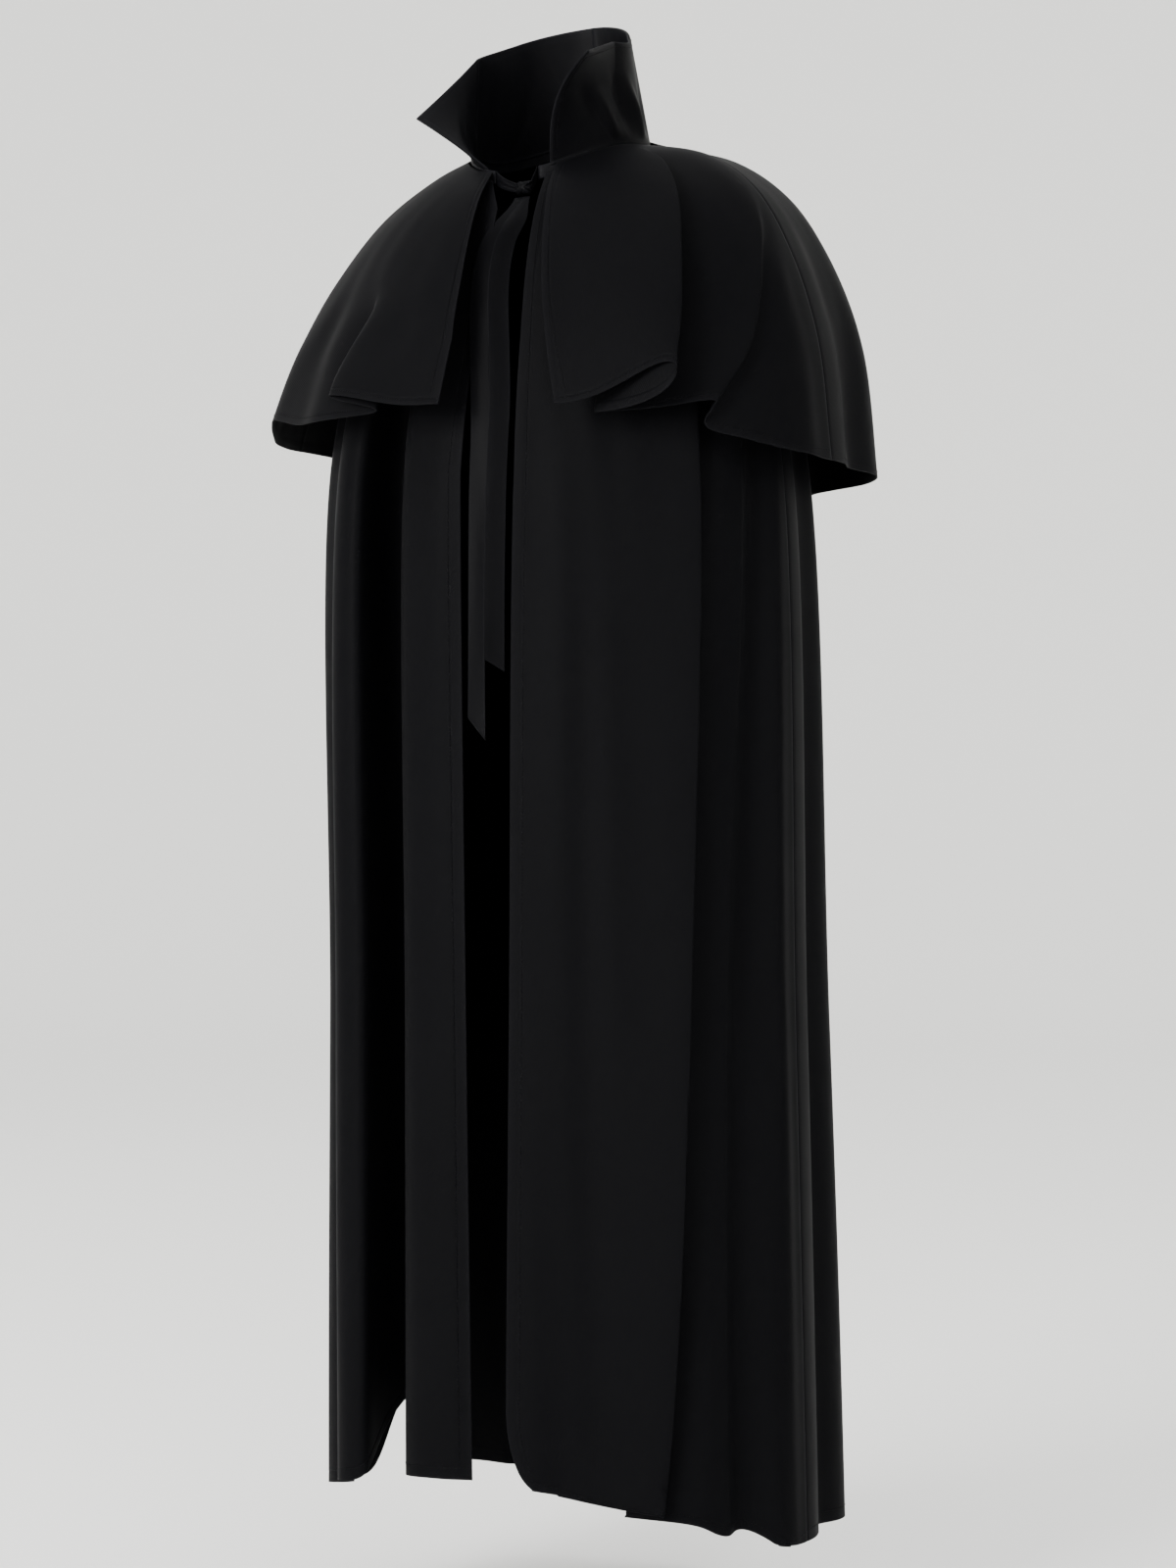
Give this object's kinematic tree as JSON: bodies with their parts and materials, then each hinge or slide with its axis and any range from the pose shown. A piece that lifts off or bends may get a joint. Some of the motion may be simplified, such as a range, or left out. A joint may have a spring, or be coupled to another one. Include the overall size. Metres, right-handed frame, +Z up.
{
  "type": "cape",
  "caption": "Floor-length costume cape with a shoulder capelet, a stiff stand-up collar with pointed wings and ribbon ties at the neck.",
  "frame": {"origin": "centre of the neck opening, at the height of the neck seam's sides; the wearer's neck and shoulders hold the cape there", "axes": "+Z up, -Y towards the wearer's front, +X towards the wearer's left"},
  "size_m": [0.619, 0.4615, 1.5055],
  "materials": {
    "cloth": "black plain-woven polyester with a faint satin sheen",
    "stiffener": "black non-woven fusible interfacing",
    "ribbon": "black satin-edged ribbon"
  },
  "bodies": {
    "cape": {"back_left": "cloth", "back_right": "cloth", "front_left_upper": "cloth", "front_right_upper": "cloth", "capelet_back": "cloth", "capelet_left_yoke": "cloth", "capelet_right_yoke": "cloth", "neckband": "cloth", "collar_outer": "cloth", "collar_stiffener": "stiffener", "collar_inner": "cloth", "tie_lead_left": "ribbon", "tie_lead_right": "ribbon", "tie_knot": "ribbon"},
    "front_left": {"front_left_lower": "cloth"},
    "front_right": {"front_right_lower": "cloth"},
    "capelet_left": {"capelet_left_flap": "cloth"},
    "capelet_right": {"capelet_right_flap": "cloth"},
    "wing_left": {"collar_outer_wing_left": "cloth", "collar_stiffener_wing_left": "stiffener", "collar_inner_wing_left": "cloth"},
    "wing_right": {"collar_outer_wing_right": "cloth", "collar_stiffener_wing_right": "stiffener", "collar_inner_wing_right": "cloth"},
    "tail_left": {"tie_left": "ribbon"},
    "tail_right": {"tie_right": "ribbon"}
  },
  "joints": [
    {"name": "front_left_open", "type": "hinge", "parent": "cape", "child": "front_left", "pos_m": [0.2565, 0, -0.3601], "axis": [-0.0222, 0, 0.9998], "range_deg": [0, 75]},
    {"name": "front_right_open", "type": "hinge", "parent": "cape", "child": "front_right", "pos_m": [-0.2555, 0, -0.3601], "axis": [0.0076, 0, -1], "range_deg": [0, 75]},
    {"name": "capelet_left_lift", "type": "hinge", "parent": "cape", "child": "capelet_left", "pos_m": [0.1541, -0.1588, -0.118], "axis": [-0.732, -0.6813, 0], "range_deg": [0, 65]},
    {"name": "capelet_right_lift", "type": "hinge", "parent": "cape", "child": "capelet_right", "pos_m": [-0.1322, -0.1535, -0.13], "axis": [-0.7927, 0.6096, 0], "range_deg": [0, 65]},
    {"name": "wing_left_bend", "type": "hinge", "parent": "cape", "child": "wing_left", "pos_m": [0.0816, -0.033, 0.0032], "axis": [-0.0287, 0.0117, 0.9995], "range_deg": [-20, 30], "stiffness_Nm_per_rad": 0.05},
    {"name": "wing_right_bend", "type": "hinge", "parent": "cape", "child": "wing_right", "pos_m": [-0.0816, -0.033, 0.0032], "axis": [-0.0287, -0.0117, -0.9995], "range_deg": [-20, 30], "stiffness_Nm_per_rad": 0.05},
    {"name": "tail_left_swing", "type": "hinge", "parent": "cape", "child": "tail_left", "pos_m": [0.017, -0.098, -0.048], "axis": [-1, 0, 0], "range_deg": [0, 70]},
    {"name": "tail_right_swing", "type": "hinge", "parent": "cape", "child": "tail_right", "pos_m": [0.017, -0.098, -0.048], "axis": [-1, 0, 0], "range_deg": [0, 70]}
  ]
}
